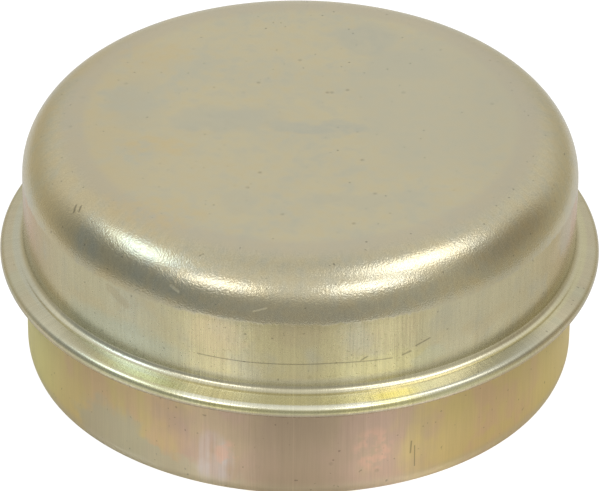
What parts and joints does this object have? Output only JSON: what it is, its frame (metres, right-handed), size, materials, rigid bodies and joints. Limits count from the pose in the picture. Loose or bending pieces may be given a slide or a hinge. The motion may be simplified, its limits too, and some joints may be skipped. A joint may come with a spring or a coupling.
{
  "type": "hub grease cap",
  "caption": "Round pressed-steel grease cap with a flat top, a folded bead and an open press-in spigot that closes the end of a wheel hub.",
  "frame": {"origin": "centre of the open rim, on the plane that the rim stands on", "axes": "+Z along the cap's axis, from the open rim to the closed top"},
  "size_m": [0.0678, 0.0678, 0.0287],
  "materials": {
    "zinc_plated_steel": "satin yellow-passivated zinc on drawn steel sheet"
  },
  "bodies": {
    "root": {"grease_cap": "zinc_plated_steel"}
  },
  "joints": []
}
